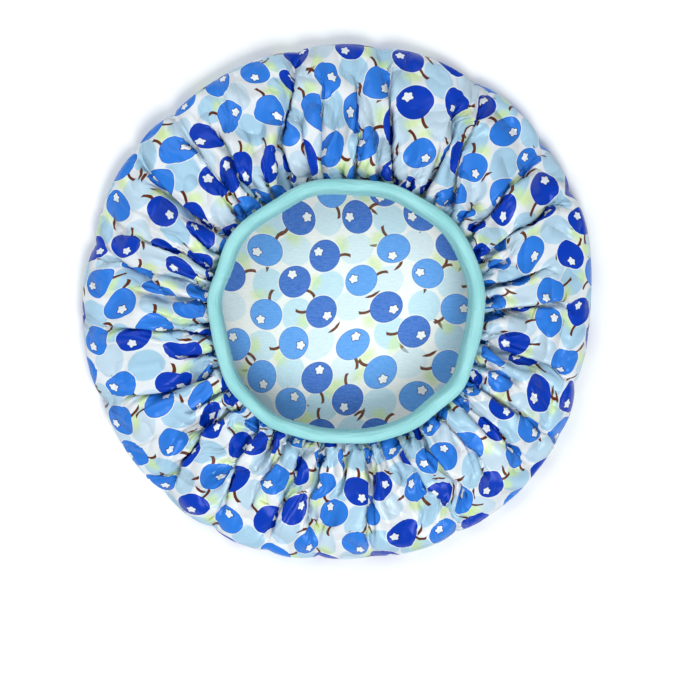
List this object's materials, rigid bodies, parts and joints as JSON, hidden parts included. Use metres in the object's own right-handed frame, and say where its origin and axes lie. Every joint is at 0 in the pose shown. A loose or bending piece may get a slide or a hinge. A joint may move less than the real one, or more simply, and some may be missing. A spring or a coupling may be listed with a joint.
{
  "type": "hair bonnet",
  "caption": "Round satin hair bonnet with a printed single-layer bag gathered into a soft elastic band, lying on its crown.",
  "frame": {"origin": "middle of the flat crown that the bonnet rests on", "axes": "+Z out through the opening, square to the flat crown; +X and +Y to the right and up in the picture, the band's longer width along X"},
  "size_m": [0.26, 0.2593, 0.0408],
  "materials": {
    "printed_satin": "soft sheen, blue print on white",
    "aqua_stretch_satin": "soft sheen, plain aqua",
    "white_elastic": "matt braided",
    "aqua_thread": "satin thread",
    "white_thread": "satin thread"
  },
  "bodies": {
    "root": {"satin_shell": "printed_satin", "band_casing": "aqua_stretch_satin", "band_elastic": "white_elastic", "seam_needle_thread": "aqua_thread", "seam_bobbin_thread": "aqua_thread", "edge_overlock_thread": "white_thread", "elastic_join_thread": "white_thread"}
  },
  "joints": []
}
